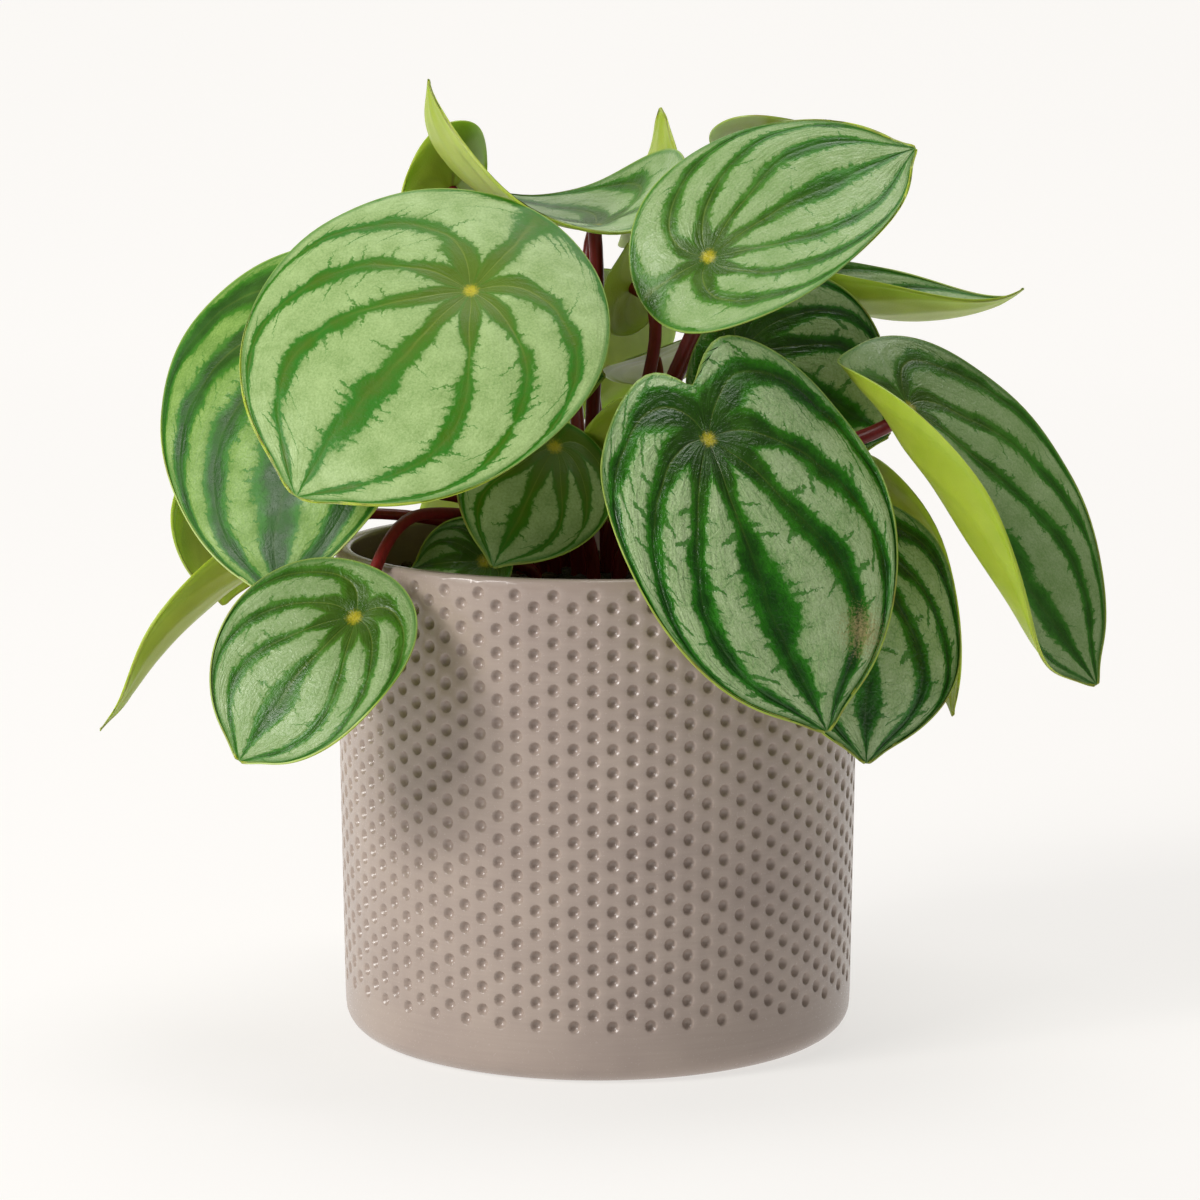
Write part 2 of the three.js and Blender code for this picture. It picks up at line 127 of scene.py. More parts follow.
# Each leaf is laid out from its hub to its tip, with its upper face turned to face. width is across
# the blade, and back is how far it reaches behind the hub, in hub-to-tip lengths. curl is how far the
# left and right halves turn up, in degrees. over is where a low leaf's stalk clears the rim.
LEAVES = [
    dict(hub=(-30, -38, 187), tip=(-68, -62, 143), face=(-20, -80, 55), width=86, back=0.48,
         taper=0.52, skew=-0.02, lobe=-0.12, curl=(-12, -4), tone="light", puff=0.02, veins=4),
    dict(hub=(-72, -12, 176), tip=(-76, -44, 115.5), face=(-35, -80, 45), width=72, back=0.4,
         curl=(-14, -10)),
    dict(hub=(-57, -58, 112), tip=(-82, -68, 81), face=(-30, -85, 45), width=46, back=0.32,
         taper=0.55, skew=-0.05, curl=(12, 12), foot=(-10, -7), over=(-42, -30, 132), lean=0.15,
         tone="mature", puff=0.05),
    dict(hub=(-86, 22, 140), tip=(-96, 34, 102), face=(-50, 80, 30), width=42, back=0.34,
         curl=(-10, -10)),
    dict(hub=(-84, 4, 116), tip=(-121, -12, 78), face=(-75, 20, 60), width=30, back=0.34,
         taper=0.85, curl=(40, 40), over=(-56, 2, 128), lean=0.15),
    dict(hub=(-10, -30, 149), tip=(-24, -46, 123), face=(10, -85, 50), width=38, back=0.22,
         curl=(-10, -10), foot=(-1, -14), tone="light"),
    dict(hub=(-27, -34, 122), tip=(-44, -32, 119), face=(10, -75, 65), width=23, back=0.4,
         curl=(10, 10), foot=(-15, -22), lean=0.15, tone="mature"),
    dict(hub=(-1, 11, 200), tip=(-41.5, 5, 232), face=(65, 5, 80), width=54, back=0.5,
         taper=0.8, bow=-0.2, droop=-70, twist=20, curl=(-6, 25), tone="mature"),
    dict(hub=(-38, 36, 208), tip=(-40, 52, 183), face=(-45, 85, 30), width=24, back=0.7,
         droop=-10, curl=(20, 20), tone="mature"),
    dict(hub=(12, 30, 201), tip=(16, 36, 226), face=(93, 37, 0), width=30, back=0.4, taper=0.9,
         curl=(2, 2)),
    dict(hub=(26, -26, 194), tip=(74, -16, 218), face=(15, -68, 72), width=55, back=0.36,
         curl=(-3, 20), lean=0.22, tone="mature", puff=0.025, veins=4),
    dict(hub=(44, 38, 221), tip=(59, 72, 198), face=(15, 55, 80), width=35, back=0.4,
         curl=(-10, -10)),
    dict(hub=(56, 33, 180), tip=(105, 23, 181), face=(10, 2, 98), width=44, back=0.36,
         bow=-0.12, curl=(62, 48), tone="mature"),
    dict(hub=(36, 6, 167), tip=(71, 6, 148), face=(15, -95, 28), width=54, back=0.3,
         curl=(2, -8), tone="glossy"),
    dict(hub=(76, -16, 157), tip=(118, -32, 94), face=(45, -65, 60), width=66, back=0.27,
         taper=0.6, skew=-0.14, sway=-0.05, curl=(10, 88), tone="mature"),
    dict(hub=(26, -60, 154), tip=(51, -77, 91), face=(30, -80, 45), width=70, back=0.36,
         notch=0.46, taper=0.58, skew=0.1, lobe=0.25, sway=-0.04, curl=(-12, -12),
         over=(33, -30, 134), lean=0.15, tone="glossy", puff=0.06),
    dict(hub=(60, -40.6, 126), tip=(63, -56.6, 79), face=(45, -75, 40), width=57, back=0.32,
         taper=0.57, skew=0.06, curl=(-10, -10), over=(48, -32, 131), lean=0.15, tone="glossy",
         puff=0.05, ruffle=0.9),
    dict(hub=(76, 6, 126), tip=(88, -2, 80), face=(85, 40, 25), width=33, back=0.4,
         curl=(-10, -10), over=(55, 4, 132), lean=0.15),
    dict(hub=(10, -22, 148), tip=(7, -15, 126), face=(0, 80, 30), width=28, back=0.65,
         curl=(-10, -10), foot=(13, -28), lean=0.15),
    dict(hub=(7, 12, 184), tip=(19, 22, 184), face=(-20, 85, 20), width=26, back=0.6,
         curl=(-10, -10)),
    dict(hub=(-16, -4, 162), tip=(1, -8, 163), face=(0, -80, 50), width=22, back=0.4,
         curl=(-10, -10)),
    dict(hub=(14, 31, 166), tip=(22, 53, 157), face=(0, 80, 50), width=30, back=0.4,
         curl=(-10, -10)),
    dict(hub=(-45, 42, 165), tip=(-75, 72, 128), face=(-50, 60, 60), width=58, back=0.36,
         curl=(-12, -12), tone="mature"),
    dict(hub=(-8, 52, 178), tip=(-14, 88, 140), face=(-5, 60, 75), width=60, back=0.36,
         curl=(-12, -12), tone="light"),
    dict(hub=(43, 54, 172), tip=(71, 86, 138), face=(45, 60, 60), width=52, back=0.36,
         curl=(-12, -12)),
    dict(hub=(-20, 70, 128), tip=(-28, 92, 88), face=(-10, 80, 50), width=52, back=0.34,
         curl=(-12, -12), over=(-14, 54, 130), lean=0.15, tone="glossy", puff=0.05),
    dict(hub=(52, 62, 128), tip=(64, 84, 86), face=(50, 75, 45), width=50, back=0.34,
         curl=(-12, -12), over=(38, 44, 130), lean=0.15, tone="mature"),
]
LEAVES = [{**USUAL, **leaf} for leaf in LEAVES]

# Dry specks on the two front leaves, each with its place and how far it spreads
BLEMISHES = [((62, -68, 110), 9), ((57.6, -56, 81.4), 3)]

# Stage, in metres, and how much the floor and the backdrop glow
SWEEP_REACH = 3
SWEEP_ROUND = 1.2
SWEEP_GLOW = (0.67, 0.81)

# Lights, with places and sizes in metres and power in watts
LIGHTS = [
    dict(name="key", place=(-1.5, -1.0, 1.1), size=1.1, power=29, tint="#FFFEFC"),
    dict(name="spark", place=(-1.6, -0.85, 1.1), size=0.3, power=7, tint="#FFFEFC"),
    dict(name="top", place=(0.1, 0.4, 1.6), size=1.2, power=13, tint="#FFFFFF"),
]
WORLD_GLOW = 0.15


# Camera, at the height and distance that the ellipse of the rim gives

CAMERA_PLACE = (0.56, -924, 248)
CAMERA_PITCH = 8.7
FOCAL_SHARE = 3760 / 1200
SENSOR = 36

bpy.ops.object.camera_add(
    location=[v * MM for v in CAMERA_PLACE],
    rotation=(math.radians(90 - CAMERA_PITCH), 0, 0),
)
camera = bpy.context.object
camera.data.sensor_width = SENSOR
camera.data.lens = SENSOR * FOCAL_SHARE
bpy.context.scene.camera = camera


# Small helpers

def colour(code):
    """An sRGB hex colour as linear values."""
    parts = [int(code[i:i + 2], 16) / 255 for i in (1, 3, 5)]
    return [p / 12.92 if p <= 0.04045 else ((p + 0.055) / 1.055) ** 2.4 for p in parts] + [1.0]


def new_material(name):
    """An empty node material and the function that adds nodes to it."""
    material = bpy.data.materials.new(name)
    material.use_nodes = True
    tree = material.node_tree
    tree.nodes.clear()

    def add(kind, settings=(), links=()):
        node = tree.nodes.new("ShaderNode" + kind)
        for key, value in dict(settings).items():
            if isinstance(key, str) and hasattr(node, key):
                setattr(node, key, value)
            else:
                node.inputs[key].default_value = value
        for key, source in dict(links).items():
            tree.links.new(source, node.inputs[key])
        return node.outputs

    return material, add


def place_in_mm(add):
    """The place on the plant, in millimetres, that a pattern is laid out by."""
    return add("VectorMath", {"operation": "SCALE", "Scale": 1 / MM}, {0: add("TexCoord")["Object"]})[0]


def choose(piece):
    """Selects this piece alone and makes it the active one."""
    bpy.ops.object.select_all(action="DESELECT")
    piece.select_set(True)
    bpy.context.view_layer.objects.active = piece


def apply_modifier(piece, kind, **settings):
    """Adds a modifier with its settings and applies it."""
    choose(piece)
    modifier = piece.modifiers.new(kind.lower(), kind)
    for key, value in settings.items():
        setattr(modifier, key, value)
    bpy.ops.object.modifier_apply(modifier=modifier.name)


def merge(piece):
    """Merges the points that lie on each other."""
    choose(piece)
    bpy.ops.object.mode_set(mode="EDIT")
    bpy.ops.mesh.select_all(action="SELECT")
    bpy.ops.mesh.remove_doubles(threshold=SAME_POINT * MM)
    bpy.ops.object.mode_set(mode="OBJECT")


def face_outwards(piece):
    """Turns the faces of a closed piece outwards."""
    choose(piece)
    bpy.ops.object.mode_set(mode="EDIT")
    bpy.ops.mesh.select_all(action="SELECT")
    bpy.ops.mesh.normals_make_consistent(inside=False)
    bpy.ops.object.mode_set(mode="OBJECT")


def select_open_edges():
    """Selects, in edit mode, the edges at which a sheet ends."""
    bpy.ops.mesh.select_mode(type="EDGE")
    bpy.ops.mesh.select_all(action="DESELECT")
    bpy.ops.mesh.select_non_manifold()


def copy_of(piece, move):
    """A moved copy of a piece, with a mesh of its own."""
    copy = piece.copy()
    copy.data = piece.data.copy()
    copy.data.transform(move)
    bpy.context.collection.objects.link(copy)
    return copy


def join(pieces):
    """Makes one piece of these, and returns it."""
    bpy.ops.object.select_all(action="DESELECT")
    for piece in pieces:
        piece.select_set(True)
    bpy.context.view_layer.objects.active = pieces[0]
    bpy.ops.object.join()
    return pieces[0]


def finish_piece(piece, name, nodes=(), materials=(), angle=50):
    """Names a piece, gives it its finish and fastens it to the plant."""
    piece.name = name
    piece.data.name = name
    for material in materials:
        piece.data.materials.append(material)
    choose(piece)
    bpy.ops.object.shade_smooth_by_angle(angle=math.radians(angle))
    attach(piece, "root")
    if nodes:
        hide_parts(*nodes)


# Materials

# The looks of leaves of different age. stripe is a stripe's core and stripe_edge its brighter edge,
# silver is for the bright cells between them and silver_shade for the dull ones, rough is the skin's
# roughness, breadth widens the stripes, star is how far solid green reaches from the hub in
# millimetres, blush is how olive it turns there, and branching is how far side veins cross the silver.
TONES = {
    "light": dict(stripe="#466E0C", stripe_edge="#2A7604", silver="#AAC482", silver_shade="#88A660",
                  rough=0.42, breadth=-0.04, star=20, blush=0.4, branching=0.55),
    "young": dict(stripe="#1E4C06", stripe_edge="#2F7409", silver="#8AAC56", silver_shade="#668C36",
                  rough=0.4, breadth=0.12, star=21, blush=0.2, branching=0.4),
    "mature": dict(stripe="#2A5812", stripe_edge="#397A1B", silver="#9CB47E", silver_shade="#7C9C5A",
                   rough=0.28, breadth=0.02, star=12, blush=0.25, branching=0.5),
    "glossy": dict(stripe="#16440A", stripe_edge="#297410", silver="#AFC593", silver_shade="#8AAA6D",
                   rough=0.17, breadth=0.04, star=21, blush=0.12, branching=1.1),
}


def leaf_upper(name, stripe, stripe_edge, silver, silver_shade, rough, breadth, star, blush, branching):
    """Upper skin of the leaf: silver cells over air, which leave the waxy green bare along the veins."""
    material, add = new_material(name)
    veins = add("SeparateXYZ", {}, {0: add("UVMap", {"uv_map": "veins"})[0]})
    edge = add("SeparateXYZ", {}, {0: add("UVMap", {"uv_map": "edge"})[0]})
    place = place_in_mm(add)
    across, along = veins[0], veins[1]
    from_hub, from_margin = edge[0], edge[1]

    # Veins lie where line is a whole number, and away is how far the nearest one is
    drift = add("TexNoise", {"Scale": 1 / 16, "Detail": 1}, {"Vector": place})[0]
    drift = add("MapRange", {"To Min": -0.13, "To Max": 0.13}, {0: drift})[0]
    line = add("Math", {"operation": "ADD"}, {0: across, 1: drift})[0]
    nearest = add("Math", {"operation": "ROUND"}, {0: line})[0]
    off = add("Math", {"operation": "SUBTRACT"}, {0: line, 1: nearest})[0]
    away = add("Math", {"operation": "ABSOLUTE"}, {0: off})[0]
    side = add("Math", {"operation": "SIGN"}, {0: off})[0]
    side = add("Math", {"operation": "MULTIPLY_ADD", 1: 3}, {0: nearest, 2: side})[0]

    # A stripe's width wanders, and it widens to solid green round the hub
    fray = add("TexNoise", {"Scale": 0.9, "Detail": 3, "Roughness": 0.6}, {"Vector": place})[0]
    fray = add("MapRange", {"From Min": 0.25, "From Max": 0.75, "To Min": -0.045, "To Max": 0.045},
               {0: fray})[0]
    broad = add("TexNoise", {"Scale": 1 / 10, "Detail": 1}, {"Vector": place})[0]
    broad = add("MapRange", {"From Min": 0.25, "From Max": 0.75, "To Min": 0.07 + breadth,
                             "To Max": 0.25 + breadth}, {0: broad})[0]
    near_hub = add("MapRange", {"interpolation_type": "SMOOTHSTEP", "From Min": 3, "From Max": star,
                                "To Min": 0.45, "To Max": 0}, {0: from_hub})[0]
    width = add("Math", {"operation": "ADD"}, {0: fray, 1: broad})[0]
    width = add("Math", {"operation": "ADD"}, {0: width, 1: near_hub})[0]
    inside = add("Math", {"operation": "SUBTRACT"}, {0: away, 1: width})[0]
    pale = add("MapRange", {"interpolation_type": "SMOOTHSTEP", "From Min": -0.03, "From Max": 0.045},
               {0: inside})[0]

    def side_veins(period, lean, shortest, longest, taper, seed):
        """How much green the side veins lay on the silver: each leaves a stripe, leans to the tip and
        thins out. Lengths are in vein spacings, taper is the thinning and lean the slant, in mm."""
        step = add("Math", {"operation": "MULTIPLY_ADD", 1: -lean}, {0: away, 2: along})[0]
        step = add("Math", {"operation": "MULTIPLY_ADD", 1: 1 / period, 2: seed}, {0: step})[0]
        start = add("TexWhiteNoise", {"noise_dimensions": "1D"}, {"W": side})[0]
        step = add("Math", {"operation": "MULTIPLY_ADD", 1: 5}, {0: start, 2: step})[0]
        step = add("Math", {"operation": "MULTIPLY_ADD", 1: 18 / period}, {0: fray, 2: step})[0]
        tooth = add("Math", {"operation": "FLOOR"}, {0: step})[0]
        within = add("Math", {"operation": "SUBTRACT"}, {0: step, 1: tooth})[0]
        within = add("Math", {"operation": "SUBTRACT", 1: 0.5}, {0: within})[0]
        within = add("Math", {"operation": "ABSOLUTE"}, {0: within})[0]
        pair = add("CombineXYZ", {}, {0: tooth, 1: side})[0]
        chance = add("TexWhiteNoise", {"noise_dimensions": "2D"}, {"Vector": pair})[0]
        reach = add("MapRange", {"To Min": shortest, "To Max": longest}, {0: chance})[0]
        left_over = add("Math", {"operation": "SUBTRACT"}, {0: reach, 1: inside})[0]
        thick = add("Math", {"operation": "MULTIPLY", 1: taper}, {0: left_over})[0]
        thick = add("Math", {"operation": "MINIMUM", 1: 0.3}, {0: thick})[0]
        cover = add("Math", {"operation": "SUBTRACT"}, {0: thick, 1: within})[0]
        return add("MapRange", {"From Min": -0.12 / period, "From Max": 0.12 / period}, {0: cover})[0]

    # Short teeth fringe the stripes, and longer veins branch off between them
    teeth = side_veins(period=2.6, lean=7, shortest=-0.05, longest=0.17, taper=1.7, seed=0.3)
    branches = side_veins(period=8, lean=7, shortest=-0.2, longest=branching, taper=0.11, seed=0.7)
    bare = add("Math", {"operation": "MAXIMUM"}, {0: teeth, 1: branches})[0]
    open_skin = add("MapRange", {"To Min": 1, "To Max": 0.15}, {0: bare})[0]
    pale = add("Math", {"operation": "MULTIPLY"}, {0: pale, 1: open_skin})[0]

    # Silver: grainy cells, duller towards the stripes and netted with fine veins that show a little
    grain = add("TexNoise", {"Scale": 1.9, "Detail": 3, "Roughness": 0.7}, {"Vector": place})[0]
    cloud = add("TexNoise", {"Scale": 1 / 6, "Detail": 2}, {"Vector": place})[0]
    patch = add("Math", {"operation": "MULTIPLY_ADD", 1: 1.5}, {0: grain, 2: cloud})[0]
    patch = add("MapRange", {"From Min": 0.95, "From Max": 1.6}, {0: patch})[0]
    duller = add("MapRange", {"From Min": 0, "From Max": 0.12, "To Min": 0.5, "To Max": 0}, {0: inside})[0]
    patch = add("Math", {"operation": "ADD", "use_clamp": True}, {0: patch, 1: duller})[0]
    silver_skin = add("Mix", {"data_type": "RGBA", 6: colour(silver), 7: colour(silver_shade)}, {0: patch})[2]
    net = add("TexVoronoi", {"feature": "DISTANCE_TO_EDGE", "Scale": 1 / 3.6}, {"Vector": place})[0]
    net = add("MapRange", {"From Min": 0.0, "From Max": 0.07, "To Min": branching / 2 - 0.15, "To Max": 0},
              {0: net})[0]
    net = add("Math", {"operation": "MULTIPLY"}, {0: net, 1: patch})[0]
    silver_skin = add("Mix", {"data_type": "RGBA", 7: colour(stripe_edge)}, {0: net, 6: silver_skin})[2]

    # Green: deep beside the vein, brighter at the stripe's edge, and flushed olive round the hub
    rim_share = add("MapRange", {"From Min": -0.16, "From Max": 0.0}, {0: inside})[0]
    rim_share = add("Math", {"operation": "MULTIPLY_ADD", 1: 0.8}, {0: rim_share, 2: cloud})[0]
    rim_share = add("MapRange", {"From Min": 0.45, "From Max": 1.2}, {0: rim_share})[0]
    green = add("Mix", {"data_type": "RGBA", 6: colour(stripe), 7: colour(stripe_edge)}, {0: rim_share})[2]
    olive = add("MapRange", {"From Min": 5, "From Max": 36, "To Min": blush, "To Max": 0}, {0: from_hub})[0]
    olive = add("Math", {"operation": "MULTIPLY"}, {0: olive, 1: cloud})[0]
    green = add("Mix", {"data_type": "RGBA", 7: colour("#8A8A30")}, {0: olive, 6: green})[2]
    vein = add("MapRange", {"From Min": 0.01, "From Max": 0.03, "To Min": 0.1 + 0.6 * blush, "To Max": 0},
               {0: away})[0]
    fade = add("MapRange", {"From Min": 4, "From Max": 30, "To Min": 1, "To Max": 0.1}, {0: from_hub})[0]
    vein = add("Math", {"operation": "MULTIPLY"}, {0: vein, 1: fade})[0]
    green = add("Mix", {"data_type": "RGBA", 7: colour("#9AA848")}, {0: vein, 6: green})[2]
    skin = add("Mix", {"data_type": "RGBA"}, {0: pale, 6: green, 7: silver_skin})[2]

    # Margin: a green band, then a thin yellow-green line; and the hub's yellow spot, brown inside
    band = add("MapRange", {"interpolation_type": "SMOOTHSTEP", "From Min": 0.5, "From Max": 1.6,
                            "To Min": 0.6, "To Max": 0}, {0: from_margin})[0]
    skin = add("Mix", {"data_type": "RGBA", 7: colour(stripe_edge)}, {0: band, 6: skin})[2]
    hem = add("MapRange", {"From Min": 0.1, "From Max": 0.4, "To Min": 0.7, "To Max": 0}, {0: from_margin})[0]
    skin = add("Mix", {"data_type": "RGBA", 7: colour("#9DB653")}, {0: hem, 6: skin})[2]
    uneven = add("Math", {"operation": "MULTIPLY_ADD", 1: 3}, {0: grain, 2: from_hub})[0]
    spot = add("MapRange", {"interpolation_type": "SMOOTHSTEP", "From Min": 2.0, "From Max": 4.0,
                            "To Min": 0.9, "To Max": 0}, {0: uneven})[0]
    skin = add("Mix", {"data_type": "RGBA", 7: colour("#C6B826")}, {0: spot, 6: skin})[2]
    core = add("MapRange", {"From Min": 1.4, "From Max": 2.0, "To Min": 0.35, "To Max": 0}, {0: uneven})[0]
    skin = add("Mix", {"data_type": "RGBA", 7: colour("#7E6A2C")}, {0: core, 6: skin})[2]

    # Blemishes: dry brown specks where the leaf was rubbed
    for spot, spread in BLEMISHES:
        far = add("VectorMath", {"operation": "DISTANCE", 1: spot}, {0: place})["Value"]
        near = add("MapRange", {"From Min": 0, "From Max": 1.5 * spread, "To Min": 1, "To Max": 0},
                   {0: far})[0]
        dry = add("Math", {"operation": "MULTIPLY_ADD", 1: 1.6}, {0: grain, 2: near})[0]
        dry = add("MapRange", {"From Min": 1.3, "From Max": 1.75, "To Max": 0.75}, {0: dry})[0]
        skin = add("Mix", {"data_type": "RGBA", 7: colour("#B0A070")}, {0: dry, 6: skin})[2]

    # Fine relief: grainy cells, wrinkles, streaks that run with the veins, and sunken veins
    wrinkle = add("TexNoise", {"Scale": 0.6, "Detail": 3, "Distortion": 1.5}, {"Vector": place})[0]
    flow = add("CombineXYZ", {}, {0: add("Math", {"operation": "MULTIPLY", 1: 9}, {0: across})[0],
                                  1: add("Math", {"operation": "MULTIPLY", 1: 0.16}, {0: along})[0]})[0]
    streak = add("TexNoise", {"Scale": 1, "Detail": 3}, {"Vector": flow})[0]
    groove = add("MapRange", {"From Min": 0, "From Max": 0.07}, {0: away})[0]
    relief = add("Math", {"operation": "MULTIPLY_ADD", 1: 0.4}, {0: grain, 2: wrinkle})[0]
    relief = add("Math", {"operation": "MULTIPLY_ADD", 1: 1.6}, {0: streak, 2: relief})[0]
    relief = add("Math", {"operation": "MULTIPLY_ADD", 1: 0.6}, {0: groove, 2: relief})[0]
    relief = add("Math", {"operation": "MULTIPLY_ADD", 1: 0.3}, {0: pale, 2: relief})[0]
    bump = add("Bump", {"Strength": max(0.3, 1.2 - 2.4 * rough), "Distance": 0.35 * MM},
               {"Height": relief})[0]
    sheen = add("MapRange", {"From Min": 0.3, "From Max": 0.7, "To Min": rough - 0.05,
                             "To Max": rough + 0.12}, {0: cloud})[0]
    shader = add("BsdfPrincipled", {"IOR": 1.44 - 0.25 * rough},
                 {"Base Color": skin, "Roughness": sheen, "Normal": bump})[0]
    add("OutputMaterial", {}, {0: shader})
    return material


def leaf_under(name):
    """Underside of the leaf: pale yellow-green and duller, lets light through, with darker veins."""
    material, add = new_material(name)
    veins = add("SeparateXYZ", {}, {0: add("UVMap", {"uv_map": "veins"})[0]})
    place = place_in_mm(add)
    nearest = add("Math", {"operation": "ROUND"}, {0: veins[0]})[0]
    off = add("Math", {"operation": "SUBTRACT"}, {0: veins[0], 1: nearest})[0]
    away = add("Math", {"operation": "ABSOLUTE"}, {0: off})[0]
    cloud = add("TexNoise", {"Scale": 1 / 8, "Detail": 3}, {"Vector": place})[0]
    skin = add("Mix", {"data_type": "RGBA", 6: colour("#B0C044"), 7: colour("#90A42A")}, {0: cloud})[2]
    vein = add("MapRange", {"From Min": 0.03, "From Max": 0.12, "To Min": 0.25, "To Max": 0}, {0: away})[0]
    skin = add("Mix", {"data_type": "RGBA", 7: colour("#8AA030")}, {0: vein, 6: skin})[2]
    grain = add("TexNoise", {"Scale": 2.2, "Detail": 2}, {"Vector": place})[0]
    bump = add("Bump", {"Strength": 0.4, "Distance": 0.15 * MM}, {"Height": grain})[0]
    shader = add("BsdfPrincipled", {"IOR": 1.42, "Roughness": 0.42, "Subsurface Weight": 0.6,
                                    "Subsurface Radius": (1.2, 1.6, 0.4), "Subsurface Scale": MM},
                 {"Base Color": skin, "Normal": bump})[0]
    add("OutputMaterial", {}, {0: shader})
    return material


def leaf_margin(name):
    """Edge of the blade: a pale yellow-green hem, tanned in places."""
    material, add = new_material(name)
    place = place_in_mm(add)
    tan = add("TexNoise", {"Scale": 1 / 6, "Detail": 2}, {"Vector": place})[0]
    tan = add("MapRange", {"From Min": 0.5, "From Max": 0.75}, {0: tan})[0]
    skin = add("Mix", {"data_type": "RGBA", 6: colour("#A0B84C"), 7: colour("#94883E")}, {0: tan})[2]
    shader = add("BsdfPrincipled", {"IOR": 1.42, "Roughness": 0.4}, {"Base Color": skin})[0]
    add("OutputMaterial", {}, {0: shader})
    return material


def stalk_skin(name):
    """Leaf stalk: smooth dark red skin with fine streaks along it."""
    material, add = new_material(name)
    place = place_in_mm(add)
    streaks = add("VectorMath", {"operation": "MULTIPLY", 1: (1.6, 1.6, 0.25)}, {0: place})[0]
    streak = add("TexNoise", {"Scale": 1, "Detail": 2}, {"Vector": streaks})[0]
    skin = add("Mix", {"data_type": "RGBA", 6: colour("#5C0F14"), 7: colour("#8E2223")}, {0: streak})[2]
    bump = add("Bump", {"Strength": 0.3, "Distance": 0.15 * MM}, {"Height": streak})[0]
    shader = add("BsdfPrincipled", {"IOR": 1.45, "Roughness": 0.36}, {"Base Color": skin, "Normal": bump})[0]
    add("OutputMaterial", {}, {0: shader})
    return material


def taupe_glaze(name):
    """Glazed stoneware: a satin taupe glaze, a little uneven from the brush and the kiln."""
    material, add = new_material(name)
    place = place_in_mm(add)
    cloud = add("TexNoise", {"Scale": 1 / 18, "Detail": 3}, {"Vector": place})[0]
    bands = add("VectorMath", {"operation": "MULTIPLY", 1: (0.05, 0.05, 1.4)}, {0: place})[0]
    band = add("TexNoise", {"Scale": 1, "Detail": 2}, {"Vector": bands})[0]
    tone = add("Math", {"operation": "MULTIPLY_ADD", 1: 0.4}, {0: band, 2: cloud})[0]
    tone = add("MapRange", {"From Min": 0.45, "From Max": 0.95}, {0: tone})[0]
    skin = add("Mix", {"data_type": "RGBA", 6: colour("#AC9C91"), 7: colour("#A09087")}, {0: tone})[2]
    speck = add("TexNoise", {"Scale": 1.8, "Detail": 2}, {"Vector": place})[0]
    bump = add("Bump", {"Strength": 0.15, "Distance": 0.05 * MM}, {"Height": speck})[0]
    rough = add("MapRange", {"To Min": 0.22, "To Max": 0.3}, {0: speck})[0]
    shader = add("BsdfPrincipled", {"IOR": 1.52}, {"Base Color": skin, "Roughness": rough, "Normal": bump})[0]
    add("OutputMaterial", {}, {0: shader})
    return material


def potting_mix(name):
    """Moist potting mix: near-black crumbs with brown fibre between them."""
    material, add = new_material(name)
    place = place_in_mm(add)
    crumb = add("TexVoronoi", {"Scale": 0.7}, {"Vector": place})
    fibre = add("TexNoise", {"Scale": 0.5, "Detail": 5, "Roughness": 0.7}, {"Vector": place})[0]
    skin = add("Mix", {"data_type": "RGBA", 6: colour("#17110C"), 7: colour("#3B2C1F")}, {0: fibre})[2]
    bump = add("Bump", {"Strength": 0.8, "Distance": 0.6 * MM}, {"Height": crumb["Distance"]})[0]
    shader = add("BsdfPrincipled", {"IOR": 1.4, "Roughness": 0.85}, {"Base Color": skin, "Normal": bump})[0]
    add("OutputMaterial", {}, {0: shader})
    return material


# Composted bark is matt brown with darker grain, and moss is soft green, yellower at the tips
STREWN = {
    "composted_bark": dict(dark="#231812", light="#5A4330", scale=1.2, detail=4, rough=0.8,
                           strength=0.6, depth=0.3),
    "moss": dict(dark="#2E4512", light="#6C8A2A", scale=0.6, detail=3, rough=0.7,
                 strength=0.5, depth=0.2),
}


def strewn_matter(name, dark, light, scale, detail, rough, strength, depth):
    """What lies on the soil: a matt grain in two tones that also stands out a little."""
    material, add = new_material(name)
    grain = add("TexNoise", {"Scale": scale, "Detail": detail}, {"Vector": place_in_mm(add)})[0]
    skin = add("Mix", {"data_type": "RGBA", 6: colour(dark), 7: colour(light)}, {0: grain})[2]
    bump = add("Bump", {"Strength": strength, "Distance": depth * MM}, {"Height": grain})[0]
    shader = add("BsdfPrincipled", {"IOR": 1.4, "Roughness": rough}, {"Base Color": skin, "Normal": bump})[0]
    add("OutputMaterial", {}, {0: shader})
    return material


# Pot

def wall_radius(z):
    """Outside of the wall, which widens a little to the rim."""
    return BASE_RADIUS + (RIM_RADIUS - BASE_RADIUS) * z / POT_HEIGHT


